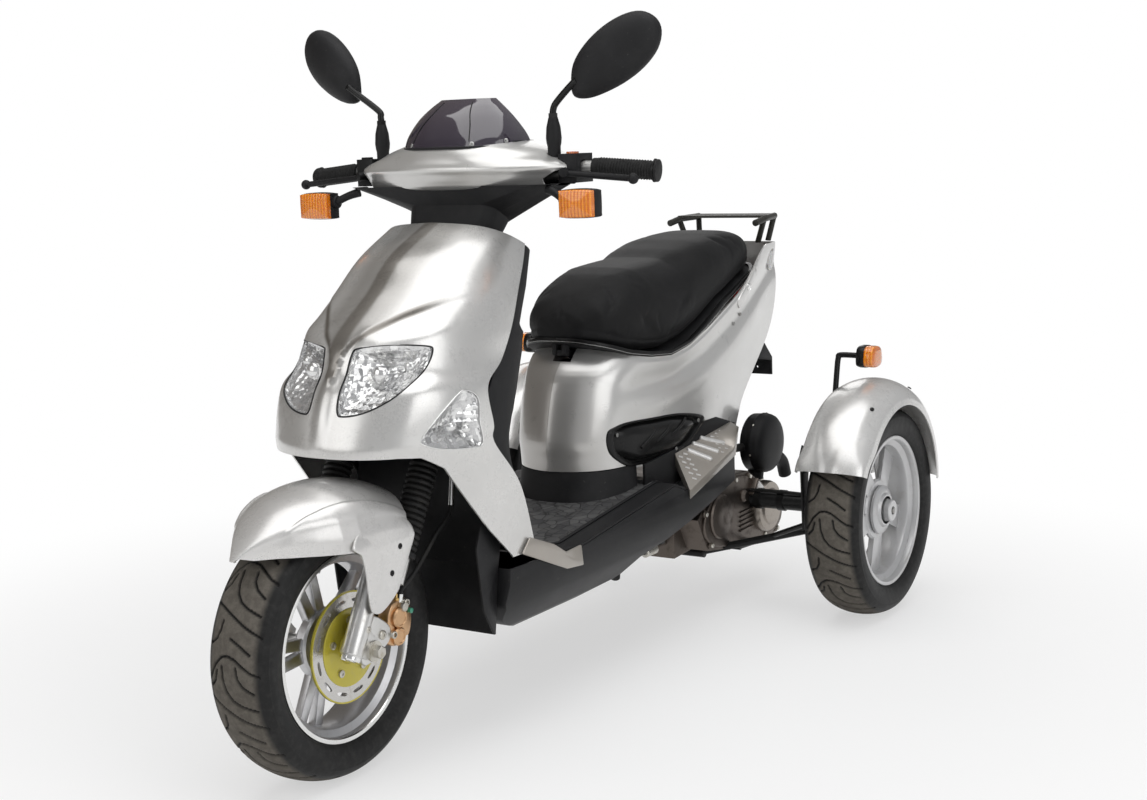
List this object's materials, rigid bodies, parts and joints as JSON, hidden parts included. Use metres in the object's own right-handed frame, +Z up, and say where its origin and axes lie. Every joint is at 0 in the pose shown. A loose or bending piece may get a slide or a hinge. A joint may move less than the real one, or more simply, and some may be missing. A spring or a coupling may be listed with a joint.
{
  "type": "three-wheeled motor scooter",
  "caption": "Three-wheeled motor scooter with a steered front wheel, two wide-set rear wheels, a stepped dual seat, a floor mat, a small screen and a tail rack.",
  "frame": {"origin": "on the floor under the middle of the outside box", "axes": "+Z up, -Y forward, +X towards the rider's left"},
  "size_m": [1.084, 1.886, 1.3477],
  "materials": {
    "tyre": "worn rubber",
    "alloy": "satin",
    "disc_steel": "brushed",
    "caliper": "satin",
    "frame_black": "gloss",
    "black_plastic": "matt, lightly grained",
    "rubber": "matt",
    "silver": "silver metallic paint",
    "warm_grey": "warm grey metallic paint",
    "lens": "clear",
    "smoke": "smoked, clear",
    "amber": "amber lens",
    "red": "red lens",
    "vinyl": "grained vinyl",
    "steel": "zinc plated",
    "cast": "cast alloy, weathered",
    "rack": "satin"
  },
  "bodies": {
    "chassis": {"air_filter": "black_plastic", "belly_pan": "black_plastic", "centre_stand": "frame_black", "engine": "cast", "exhaust": "steel", "floor_trims": "silver", "floorboard": "black_plastic", "frame": "frame_black", "front_shield": "silver", "headlights": "lens", "inner_leg_shield": "black_plastic", "passenger_footboards": "warm_grey", "plate_bracket": "black_plastic", "radius_rods": "frame_black", "rear_axle": "steel", "rear_fenders": "silver", "rear_rack": "rack", "rear_shocks": "steel", "rear_signals": "amber", "side_lamps": "lens", "side_panel_left": "silver", "side_panel_right": "silver", "side_skirts": "black_plastic", "side_vents": "black_plastic", "storage_bucket": "black_plastic", "tail_light": "red", "wheel_well": "black_plastic"},
    "steering": {"fork": "alloy", "fork_boots": "rubber", "front_fender": "silver", "brake_caliper": "caliper", "brake_hose": "rubber", "handlebar": "steel", "grips": "rubber", "hand_controls": "black_plastic", "handlebar_cover": "silver", "lower_cover": "black_plastic", "windscreen": "smoke", "mirrors": "black_plastic", "front_signals": "amber"},
    "front_wheel": {"front_tyre": "tyre", "front_rim": "alloy", "brake_disc": "disc_steel"},
    "rear_left_wheel": {"rear_left_tyre": "tyre", "rear_left_rim": "alloy"},
    "rear_right_wheel": {"rear_right_tyre": "tyre", "rear_right_rim": "alloy"},
    "seat": {"seat": "vinyl", "seat_base": "black_plastic"}
  },
  "joints": [
    {"name": "steering_turn", "type": "hinge", "parent": "chassis", "child": "steering", "pos_m": [0, -0.65627, 0.21876], "axis": [0, 0.4848, 0.8746], "range_deg": [-38, 38]},
    {"name": "front_wheel_spin", "type": "hinge", "parent": "steering", "child": "front_wheel", "pos_m": [0, -0.7, 0.243], "axis": [1, 0, 0], "continuous": true},
    {"name": "rear_left_wheel_spin", "type": "hinge", "parent": "chassis", "child": "rear_left_wheel", "pos_m": [0.46, 0.68, 0.243], "axis": [1, 0, 0], "continuous": true},
    {"name": "rear_right_wheel_spin", "type": "hinge", "parent": "chassis", "child": "rear_right_wheel", "pos_m": [-0.46, 0.68, 0.243], "axis": [1, 0, 0], "continuous": true},
    {"name": "seat_lift", "type": "hinge", "parent": "chassis", "child": "seat", "pos_m": [0, 0.104, 0.664], "axis": [1, 0, 0], "range_deg": [0, 75]}
  ]
}
